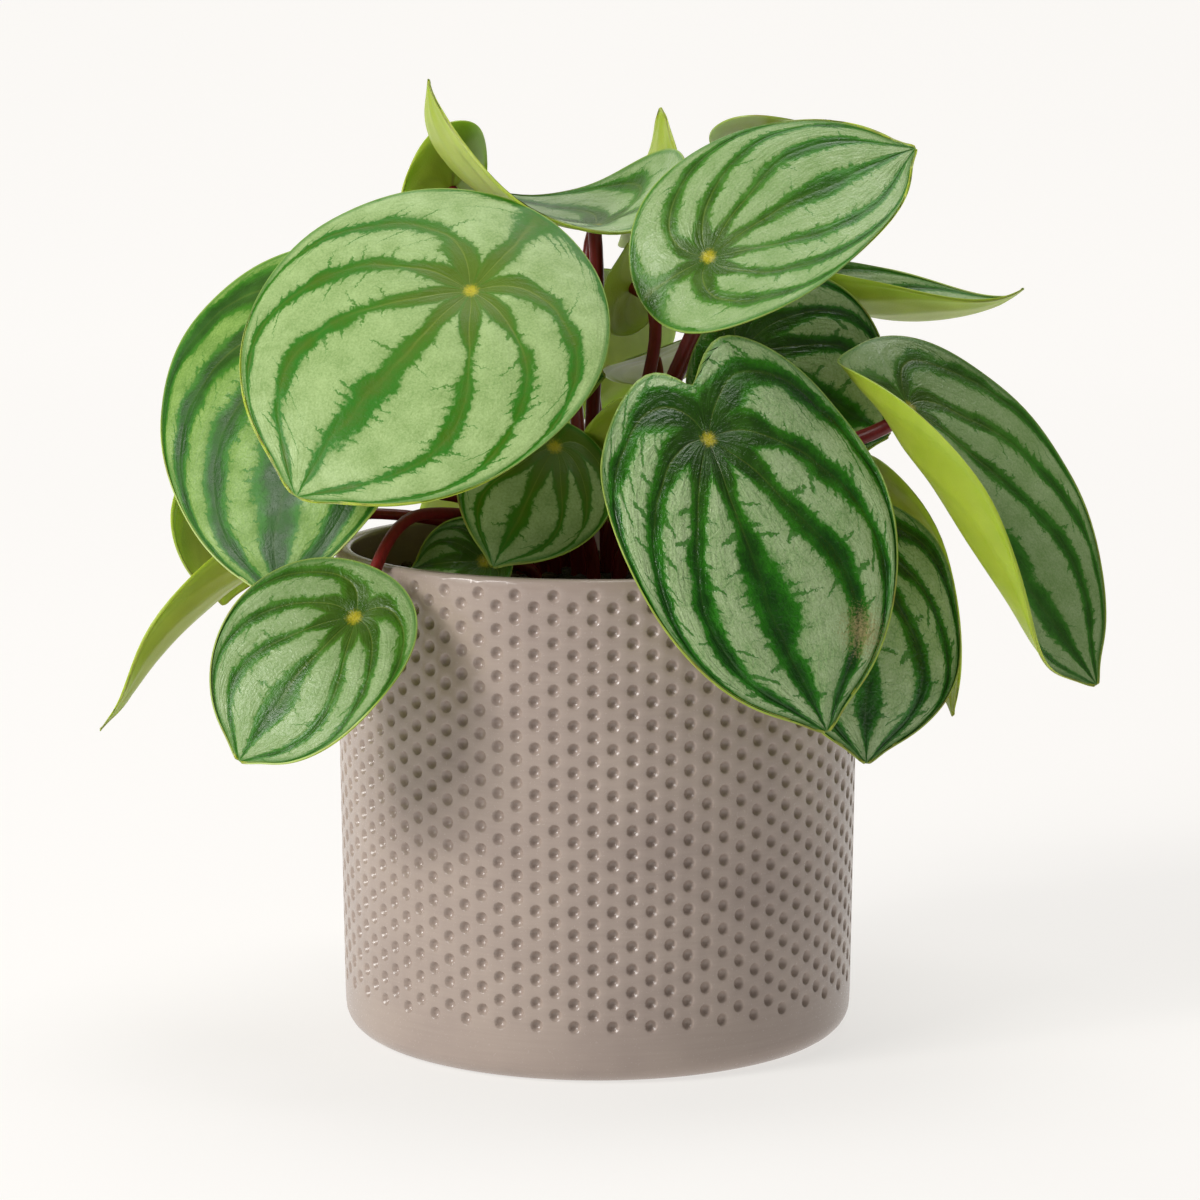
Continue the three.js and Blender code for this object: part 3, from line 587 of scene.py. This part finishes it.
def dimple_tile(column_width):
    """One dimple in its six-sided tile, flat: a bowl of insets, with its rim drawn out to the tile."""
    third = column_width / 3
    half = DIMPLE_PITCH / 2
    corners = [(third, -half), (2 * third, 0), (third, half),
               (-third, half), (-2 * third, 0), (-third, -half)]
    middles = [((a[0] + b[0]) / 2, (a[1] + b[1]) / 2) for a, b in zip(corners, corners[1:] + corners[:1])]
    places = [Vector((x * MM, y * MM, 0)) for x, y in corners + middles]

    bpy.ops.object.select_all(action="DESELECT")
    bpy.ops.mesh.primitive_circle_add(vertices=12, radius=DIMPLE_RADIUS * MM, fill_type="NGON")
    tile = bpy.context.object
    bpy.ops.object.mode_set(mode="EDIT")
    bpy.ops.mesh.select_all(action="SELECT")
    for inward, down in DIMPLE_STEPS:
        bpy.ops.mesh.inset(thickness=inward * DIMPLE_RADIUS * MM, depth=-down * DIMPLE_DEPTH * MM)
    select_open_edges()
    bpy.ops.mesh.extrude_edges_move()
    sheet = bmesh.from_edit_mesh(tile.data)
    for point in sheet.verts:
        if point.select:
            point.co = min(places, key=lambda p: (p - 1.5 * point.co).length)
    bmesh.update_edit_mesh(tile.data)
    bpy.ops.object.mode_set(mode="OBJECT")
    return tile


def dimpled_wall():
    """The whole dimpled wall, as tiles in rows and columns, wrapped round the pot."""
    column_width = 2 * math.pi * RIM_RADIUS / DIMPLE_COLUMNS
    tile = dimple_tile(column_width)
    apply_modifier(tile, "ARRAY", count=DIMPLE_ROWS, use_relative_offset=False, use_constant_offset=True,
                   constant_offset_displace=(0, DIMPLE_PITCH * MM, 0), use_merge_vertices=True,
                   merge_threshold=TILE_JOINT * MM)
    half_step = Matrix.Translation((column_width * MM, -DIMPLE_PITCH / 2 * MM, 0))
    tile = join([tile, copy_of(tile, half_step)])
    apply_modifier(tile, "ARRAY", count=DIMPLE_COLUMNS // 2, use_relative_offset=False,
                   use_constant_offset=True, constant_offset_displace=(2 * column_width * MM, 0, 0),
                   use_merge_vertices=True, merge_threshold=TILE_JOINT * MM)
    first = LOWEST_DIMPLE + DIMPLE_PITCH / 2
    for point in tile.data.vertices:
        x, y, depth = (v / MM for v in point.co)
        z = first + y
        radius = wall_radius(z) + depth
        angle = FIRST_COLUMN + x / RIM_RADIUS
        point.co = (radius * math.sin(angle) * MM, -radius * math.cos(angle) * MM, z * MM)
    merge(tile)
    return tile


def pull_rings(piece, start_high, rings):
    """Draws the open edge at one end of the wall out through rings of (radius, height) and closes it."""
    choose(piece)
    bpy.ops.object.mode_set(mode="EDIT")
    select_open_edges()
    shape = bmesh.from_edit_mesh(piece.data)
    half = POT_HEIGHT / 2 * MM
    for part in list(shape.edges):
        if part.select and (part.verts[0].co.z > half) != start_high:
            part.select_set(False)
    shape.select_flush_mode()
    bmesh.update_edit_mesh(piece.data)
    for radius, height in rings:
        bpy.ops.mesh.extrude_edges_move()
        shape = bmesh.from_edit_mesh(piece.data)
        for point in shape.verts:
            if point.select:
                spread = radius * MM / math.hypot(point.co.x, point.co.y)
                point.co = (point.co.x * spread, point.co.y * spread, height * MM)
        bmesh.update_edit_mesh(piece.data)
    bpy.ops.mesh.edge_face_add()
    bpy.ops.mesh.inset(thickness=rings[-1][0] * 0.5 * MM)
    bpy.ops.mesh.poke()
    bpy.ops.object.mode_set(mode="OBJECT")


def arc(centre_radius, centre_height, size, start, end, steps):
    """Rings along a round edge, as (radius, height) pairs."""
    turns = [math.radians(start + (end - start) * i / steps) for i in range(steps + 1)]
    return [(centre_radius + size * math.cos(t), centre_height + size * math.sin(t)) for t in turns]


def make_pot(glaze):
    pot = dimpled_wall()
    inner = RIM_RADIUS - WALL
    lip = arc(RIM_RADIUS - RIM_ROUND, POT_HEIGHT - RIM_ROUND, RIM_ROUND, start=18, end=90, steps=5)
    lip += arc(inner + RIM_ROUND, POT_HEIGHT - RIM_ROUND, RIM_ROUND, start=90, end=180, steps=5)
    cavity = arc(inner - BASE_ROUND, FLOOR + BASE_ROUND, BASE_ROUND, start=0, end=-90, steps=5)
    pull_rings(pot, True, lip + [(inner, POT_HEIGHT - RIM_DEPTH)] + cavity)
    foot = arc(BASE_RADIUS - BASE_ROUND, BASE_ROUND, BASE_ROUND, start=0, end=-90, steps=7)
    pull_rings(pot, False, [(wall_radius(PLAIN_FOOT), PLAIN_FOOT)] + foot)
    face_outwards(pot)
    finish_piece(pot, "pot_body", ["pot"], [glaze], angle=75)


# Soil

def soil_height(radius):
    """Smooth soil, heaped a little in the middle."""
    share = radius / (RIM_RADIUS - WALL)
    return SOIL_EDGE + (SOIL_CROWN - SOIL_EDGE) * (1 - share ** 2)


def lump(x, y):
    """Height of the crumbs above the smooth soil."""
    spot = Vector((x / CRUMB_SIZE, y / CRUMB_SIZE, 0.4))
    return sum(height * noise.noise(spot * finer) for finer, height in CRUMBS)


def make_soil(mix):
    radius = RIM_RADIUS - WALL - SOIL_GAP
    bpy.ops.object.select_all(action="DESELECT")
    bpy.ops.mesh.primitive_grid_add(x_subdivisions=SOIL_GRID, y_subdivisions=SOIL_GRID, size=2)
    soil = bpy.context.object
    for point in soil.data.vertices:
        u, v = point.co.x, point.co.y
        x = radius * u * math.sqrt(1 - v * v / 2)
        y = radius * v * math.sqrt(1 - u * u / 2)
        point.co = (x * MM, y * MM, (soil_height(math.hypot(x, y)) + lump(x, y)) * MM)
    bpy.ops.object.mode_set(mode="EDIT")
    select_open_edges()
    bpy.ops.mesh.extrude_edges_move()
    bpy.ops.transform.resize(value=(1, 1, 0), center_override=(0, 0, (FLOOR + SOIL_GAP) * MM))
    bpy.ops.mesh.edge_face_add()
    bpy.ops.object.mode_set(mode="OBJECT")
    face_outwards(soil)
    finish_piece(soil, "potting_mix", ["soil"], [mix], angle=40)


def scatter(base, name, material, count, seed, spots, size):
    """Copies of one small shape strewn on the soil, each turned and sized its own way."""
    draw = random.Random(seed)
    copies = []
    for _ in range(count):
        centre, spread = draw.choice(spots)
        x, y = draw.gauss(centre[0], spread), draw.gauss(centre[1], spread)
        reach = math.hypot(x, y)
        limit = RIM_RADIUS - WALL - STREWN_MARGIN
        if reach > limit:
            x, y = x * limit / reach, y * limit / reach
            reach = limit
        scale = draw.uniform(*size)
        turn = Matrix.Rotation(draw.uniform(0, 2 * math.pi), 4, "Z")
        tip = Matrix.Rotation(draw.uniform(-0.5, 0.5), 4, "X")
        z = soil_height(reach) + lump(x, y) + 0.2 * scale
        move = Matrix.Translation((x * MM, y * MM, z * MM))
        copies.append(copy_of(base, move @ turn @ tip @ Matrix.Scale(scale, 4)))
    finish_piece(join(copies), name, [], [material])
    bpy.data.objects.remove(base)


def make_bark_bits(material):
    bpy.ops.object.select_all(action="DESELECT")
    bpy.ops.mesh.primitive_cube_add(size=MM)
    chip = bpy.context.object
    bpy.ops.object.mode_set(mode="EDIT")
    bpy.ops.transform.resize(value=(2.4, 1.2, 0.6))
    bpy.ops.mesh.bevel(offset=0.2 * MM, segments=1)
    bpy.ops.mesh.subdivide(number_cuts=1, smoothness=0.6)
    bpy.ops.object.mode_set(mode="OBJECT")
    scatter(chip, "bark_bits", material, count=90, seed=11, spots=BARK_SPOTS, size=(0.7, 2.2))


def make_moss(material):
    bpy.ops.object.select_all(action="DESELECT")
    bpy.ops.mesh.primitive_cone_add(vertices=6, radius1=0.5 * MM, radius2=0.1 * MM, depth=3 * MM)
    shoot = bpy.context.object
    bpy.ops.object.mode_set(mode="EDIT")
    bpy.ops.mesh.bevel(offset=0.08 * MM, segments=1)
    bpy.ops.object.mode_set(mode="OBJECT")
    draw = random.Random(5)
    shoots = [shoot]
    for _ in range(8):
        lean = Matrix.Rotation(draw.uniform(0.2, 1.1), 4, "X")
        turn = Matrix.Rotation(draw.uniform(0, 2 * math.pi), 4, "Z")
        shoots.append(copy_of(shoot, turn @ lean))
    shoot = join(shoots)
    scatter(shoot, "moss", material, count=110, seed=23, spots=MOSS_SPOTS, size=(0.6, 1.3))


# Leaf blades

def unit(vector):
    vector = np.asarray(vector, float)
    return vector / np.linalg.norm(vector)


def vein_grid(hub, half_columns, rows):
    """Where the veins run on a unit disc whose tip is at 1: they leave the hub evenly all round,
    spread out, and then bend along the margin to the tip, as water would run from a spring to a
    drain. The first column is the midrib and the last one the back rib and then the margin."""
    total = hub + 1 / hub
    strength = np.geomspace(0.002, 20000, 900)
    push = 1 / np.sqrt(strength ** -2 + VEIN_REACH ** -2)
    lines = []
    for share in np.linspace(0, 1, half_columns + 1):
        if share < 1:
            turn = 1 - (1 - share) ** (1 + push)
            k = strength * np.exp(1j * np.pi * turn)
            middle = total - 2 * k
            root = np.sqrt((4 * k - total - 2) * (2 - total))
            bottom = np.where(abs(middle + root) > abs(middle - root), middle + root, middle - root)
            z = 2 * (1 - k) / bottom
            z = np.concatenate([[hub], z.real + 1j * abs(z.imag), [1]])
        else:
            # The back rib runs straight to the margin, turns a corner there and follows it to the tip
            z = np.concatenate([np.linspace(hub, -1, 90), np.exp(1j * np.linspace(np.pi, 0, 300))])
        length = np.concatenate([[0], np.cumsum(abs(np.diff(z)))])
        wanted = np.linspace(0, length[-1], rows + 1)
        if share == 1:
            first = max(1, round(rows * (1 + hub) / length[-1]))
            wanted = np.concatenate([np.linspace(0, 1 + hub, first + 1),
                                     np.linspace(1 + hub, length[-1], rows - first + 1)[1:]])
        lines.append(np.interp(wanted, length, z.real) + 1j * np.interp(wanted, length, z.imag))
    half = np.array(lines).T
    return np.concatenate([np.conj(half[:, :0:-1]), half], axis=1), first


def on_blade(leaf, z):
    """From the disc to the leaf's own plane: x from hub to tip, y across in half widths."""
    along = (1 + z.real) / 2
    widest = BACK_ROUNDNESS / (BACK_ROUNDNESS + leaf["taper"])
    scale = 1 / (widest ** BACK_ROUNDNESS * (1 - widest) ** leaf["taper"])
    y = z.imag * scale / 2 * np.maximum(1 - along, 0) ** (leaf["taper"] - 0.5)
    turn = abs(np.angle(z))
    outer = abs(z) ** 8
    beak = BEAK * np.exp(-((turn / BEAK_SPREAD) ** 2)) * outer
    notch = 1 - leaf["notch"] * np.exp(-(((np.pi - turn) / BEAK_SPREAD) ** 2)) * abs(z)
    x = along * (1 + leaf["back"]) - leaf["back"] + beak
    x = np.where(x < 0, x * (1 + leaf["lobe"] * y), x)
    return x * notch, y * notch


def blade_surface(leaf, x, y):
    """The upper face in millimetres: a bowed midrib, with each half curled up or down from it."""
    hub = np.array(leaf["hub"], float)
    ahead = np.array(leaf["tip"], float) - hub
    chord = np.linalg.norm(ahead)
    ahead = ahead / chord
    up = unit(leaf["face"])
    up = unit(up - up @ ahead * ahead)
    left = np.cross(up, ahead)

    rise = 2 * math.atan(2 * leaf["bow"])
    length = chord * rise / math.sin(rise)
    bend = np.where(x >= 0, -2 * rise, -math.radians(leaf["droop"]) / leaf["back"])
    slope = rise + bend * x
    forward = (length / bend * (np.sin(slope) - math.sin(rise)))[..., None]
    lift = (length / bend * (math.cos(rise) - np.cos(slope)))[..., None]
    cos, sin = np.cos(slope)[..., None], np.sin(slope)[..., None]
    along = ahead * cos + up * sin
    normal = up * cos - ahead * sin
    twist = (math.radians(leaf["twist"]) * x)[..., None]
    sideways = left * np.cos(twist) + normal * np.sin(twist)
    normal = np.cross(along, sideways)

    half_width = leaf["width"] / 2 * (1 + np.sign(y) * leaf["skew"])
    curl = np.radians(np.where(y >= 0, *leaf["curl"]))
    span = half_width * np.sin(curl * abs(y)) / curl * np.sign(y)
    raised = half_width * (1 - np.cos(curl * abs(y))) / curl
    sway = leaf["sway"] * chord * np.where(x >= 0, 4 * x * (1 - x), 4 * x) * (1 - y * y)
    from_hub = np.hypot(x * length, y * half_width)
    dent = HUB_DENT * np.exp(-((from_hub / HUB_DENT_RADIUS) ** 2))
    return (hub + ahead * forward + up * lift + sideways * (span + sway)[..., None]
            + normal * (raised - dent)[..., None])


def blade_normal(leaf, x, y):
    """Which way the upper face looks."""
    step = 0.004
    ahead = blade_surface(leaf, x + step, y) - blade_surface(leaf, x - step, y)
    left = blade_surface(leaf, x, y + step) - blade_surface(leaf, x, y - step)
    normal = np.cross(ahead, left)
    return normal / np.linalg.norm(normal, axis=-1)[..., None]


def margin_distance(points, margin):
    """How far each point is from a line of margin points, in millimetres."""
    start, run = margin[:-1], np.diff(margin, axis=0)
    size = np.maximum((run ** 2).sum(1), 1e-9)
    offset = points[:, None, :] - start[None]
    share = np.clip((offset * run).sum(2) / size, 0, 1)
    return np.linalg.norm(offset - share[..., None] * run, axis=2).min(1)


def make_blade(number, leaf, materials):
    per_vein, rows = FINE_GRID if leaf["width"] > SMALL_WIDTH else SMALL_GRID
    half = round(leaf["veins"] * per_vein)
    hub_on_disc = (leaf["back"] - 1) / (leaf["back"] + 1)
    z, corner = vein_grid(hub_on_disc, half, rows)
    x, y = on_blade(leaf, z)
    normal = blade_normal(leaf, x, y)
    points = blade_surface(leaf, x, y)

    # Swell between the veins, by a share of the room between them
    draw = random.Random(number)
    share = np.linspace(-1, 1, 2 * half + 1)
    line = share * leaf["veins"]
    gap = np.linalg.norm(np.gradient(points, axis=1), axis=2) * per_vein
    gap[:corner + 1, 0] = gap[:corner + 1, -1] = (gap[:corner + 1, 0] + gap[:corner + 1, -1]) / 2
    swell = leaf["puff"] * np.minimum(gap, WIDEST_SWELL) * np.abs(np.sin(np.pi * line)) ** 1.3
    turn = np.angle(z)
    waves = draw.choice((3, 4, 5))
    swell += leaf["ruffle"] * abs(z) ** 6 * np.sin(waves * turn + draw.uniform(0, 6.3))
    ripple = np.sin(points[..., 0] / 7 + draw.uniform(0, 6.3)) * np.sin(points[..., 2] / 6)
    swell += RIPPLE * ripple * abs(z)
    points = points + normal * swell[..., None]

    bpy.ops.object.select_all(action="DESELECT")
    bpy.ops.mesh.primitive_grid_add(x_subdivisions=2 * half, y_subdivisions=rows, size=1, calc_uvs=False)
    blade = bpy.context.object
    mesh = blade.data
    flat = points.reshape(-1, 3)
    mesh.vertices.foreach_set("co", (flat * MM).ravel())
    run = np.linalg.norm(np.diff(points, axis=0), axis=2)
    along = np.concatenate([np.zeros((1, 2 * half + 1)), np.cumsum(run, axis=0)])
    margin = np.concatenate([points[:corner - 1:-1, 0], points[corner:, -1]])
    to_margin = margin_distance(flat, margin)
    from_hub = np.linalg.norm(flat - flat[half], axis=1)
    corners = np.zeros(len(mesh.loops), int)
    mesh.loops.foreach_get("vertex_index", corners)
    maps = {
        "veins": (np.broadcast_to(line, z.shape).ravel(), along.ravel()),
        "edge": (from_hub, to_margin),
    }
    for name, pair in maps.items():
        layer = mesh.uv_layers.new(name=name)
        layer.data.foreach_set("uv", np.stack(pair, axis=1)[corners].astype(np.float32).ravel())
    body = blade.vertex_groups.new(name="body")
    for index, reach in enumerate(to_margin):
        body.add([index], min(1, reach / THINNING), "REPLACE")
    mesh.update()
    merge(blade)
    facing = sum((face.normal * face.area for face in mesh.polygons), Vector())
    if facing.dot(Vector(normal[rows // 2, half])) < 0:
        mesh.flip_normals()
    for material in materials:
        mesh.materials.append(material)
    apply_modifier(blade, "SOLIDIFY", thickness=BLADE_THICKNESS * MM, offset=-1, vertex_group="body",
                   thickness_vertex_group=MARGIN_SHARE, material_offset=1, material_offset_rim=2)
    finish_piece(blade, f"leaf_{number:02d}", [f"blade_{number:02d}"], [], angle=60)


# Leaf stalks

def foot_places():
    """Each foot starts on the way to its hub, then crowded feet push each other apart."""
    feet = [Vector(leaf["foot"] or Vector(leaf["hub"]).xy * FOOT_SHARE) for leaf in LEAVES]
    for _ in range(SPACING_ROUNDS):
        for i, foot in enumerate(feet):
            for other in feet[i + 1:]:
                apart = foot - other
                short = FOOT_SPACING - apart.length
                if short > 0:
                    apart = apart.normalized() * short / 2
                    foot += apart
                    other -= apart
    return feet


def stalk_points(leaf, foot):
    """The stalk's points with the handles before and after each, from its root to the hub."""
    zero = np.zeros(1)
    normal = Vector(blade_normal(leaf, zero, zero)[0])
    hub = Vector(blade_surface(leaf, zero, zero)[0])
    seat = hub - normal * SEAT_DEPTH
    surface = soil_height(foot.length)
    root = Vector((foot.x, foot.y, surface - ROOT_DEPTH))
    out = Vector((foot.x, foot.y, surface + 1))
    span = (seat - out).length
    below = seat - normal * leaf["lean"] * span
    up = Vector((0, 0, 1))
    rest = (out - root) / 3
    if leaf["over"]:
        top = Vector(leaf["over"])
        level = Vector((seat.x - out.x, seat.y - out.y, 0)).normalized()
        climb = out + up * 0.7 * (top.z - out.z)
        return [(root - rest, root, root + rest), (out - rest, out, climb),
                (top - level * 0.2 * span, top, top + level * 0.25 * span),
                (below, seat, seat)]
    return [(root - rest, root, root + rest), (out - rest, out, out + up * 0.4 * span), (below, seat, seat)]


def make_stalk(number, leaf, foot, skin):
    bpy.ops.object.select_all(action="DESELECT")
    bpy.ops.curve.primitive_bezier_curve_add()
    stalk = bpy.context.object
    curve = stalk.data
    places = stalk_points(leaf, foot)
    line = curve.splines[0]
    line.bezier_points.add(len(places) - 2)
    thick = 0.85 + 0.25 * min(1, leaf["width"] / 70)
    at_foot, midway, at_hub = (thick * share for share in STALK_SHAPE)
    for index, (point, (before, at, after)) in enumerate(zip(line.bezier_points, places)):
        point.handle_left_type = point.handle_right_type = "FREE"
        point.co, point.handle_left, point.handle_right = at * MM, before * MM, after * MM
        point.radius = at_foot if index < 2 else midway
    line.bezier_points[-1].radius = at_hub
    curve.bevel_depth = STALK_RADIUS * MM
    curve.bevel_resolution = 4
    curve.resolution_u = 16
    curve.use_fill_caps = True
    choose(stalk)
    bpy.ops.object.convert(target="MESH")
    stalk = bpy.context.object
    finish_piece(stalk, f"petiole_{number:02d}", [f"stalk_{number:02d}"], [skin], angle=60)


# Floor, backdrop and light

def make_stage():
    """A white sweep that glows a little, as one lit from behind does, so its shadows stay soft."""
    material, add = new_material("white_sweep")
    place = add("TexCoord")["Object"]
    soft = add("TexNoise", {"Scale": 2}, {"Vector": place})[0]
    paper = add("Mix", {"data_type": "RGBA", 6: colour("#949290"), 7: colour("#969492")}, {0: soft})[2]
    away = add("SeparateXYZ", {}, {0: place})[1]
    glow = add("MapRange", {"interpolation_type": "SMOOTHSTEP", "From Min": 0, "From Max": 2.2,
                            "To Min": SWEEP_GLOW[0], "To Max": SWEEP_GLOW[1]}, {0: away})[0]
    shader = add("BsdfPrincipled",
                 {"Roughness": 1, "Specular IOR Level": 0, "Emission Color": colour("#FFFDFA")},
                 {"Base Color": paper, "Emission Strength": glow})[0]
    add("OutputMaterial", {}, {0: shader})
    bpy.ops.object.select_all(action="DESELECT")
    bpy.ops.mesh.primitive_plane_add(size=2 * SWEEP_REACH)
    sweep = bpy.context.object
    sweep.name = "sweep"
    bpy.ops.object.mode_set(mode="EDIT")
    bpy.ops.mesh.select_mode(type="EDGE")
    bpy.ops.mesh.select_all(action="DESELECT")
    shape = bmesh.from_edit_mesh(sweep.data)
    for part in shape.edges:
        part.select_set(all(point.co.y > 0 for point in part.verts))
    bmesh.update_edit_mesh(sweep.data)
    bpy.ops.mesh.extrude_edges_move(TRANSFORM_OT_translate={"value": (0, 0, SWEEP_REACH)})
    bpy.ops.object.mode_set(mode="OBJECT")
    apply_modifier(sweep, "BEVEL", width=SWEEP_ROUND, segments=24, limit_method="ANGLE",
                   angle_limit=math.radians(60))
    bpy.ops.object.shade_smooth()
    sweep.data.materials.append(material)


def add_light(name, place, size, power, tint):
    """A round light that is turned to the middle of the plant."""
    bpy.ops.object.select_all(action="DESELECT")
    bpy.ops.object.light_add(type="AREA", location=place)
    light = bpy.context.object
    light.name = name
    light.data.shape = "DISK"
    light.data.size = size
    light.data.energy = power
    light.data.color = colour(tint)[:3]
    aim = Vector((0, 0, 0.15)) - Vector(place)
    light.rotation_euler = aim.to_track_quat("-Z", "Y").to_euler()


def make_light():
    world = bpy.data.worlds.new("studio")
    world.use_nodes = True
    world.node_tree.nodes["Background"].inputs["Color"].default_value = colour("#FBFAF8")
    world.node_tree.nodes["Background"].inputs["Strength"].default_value = WORLD_GLOW
    bpy.context.scene.world = world
    for light in LIGHTS:
        add_light(**light)
    bpy.context.scene.view_settings.view_transform = "Standard"


uppers = {tone: leaf_upper(f"leaf_upper_{tone}", **values) for tone, values in TONES.items()}
under = leaf_under("leaf_underside")
hem = leaf_margin("leaf_margin")
skin = stalk_skin("stalk_skin")

make_pot(taupe_glaze("taupe_glaze"))
make_soil(potting_mix("potting_mix"))
make_bark_bits(strewn_matter("composted_bark", **STREWN["composted_bark"]))
make_moss(strewn_matter("moss", **STREWN["moss"]))
for number, (leaf, foot) in enumerate(zip(LEAVES, foot_places()), start=1):
    make_blade(number, leaf, [uppers[leaf["tone"]], under, hem])
    make_stalk(number, leaf, foot, skin)
make_stage()
make_light()
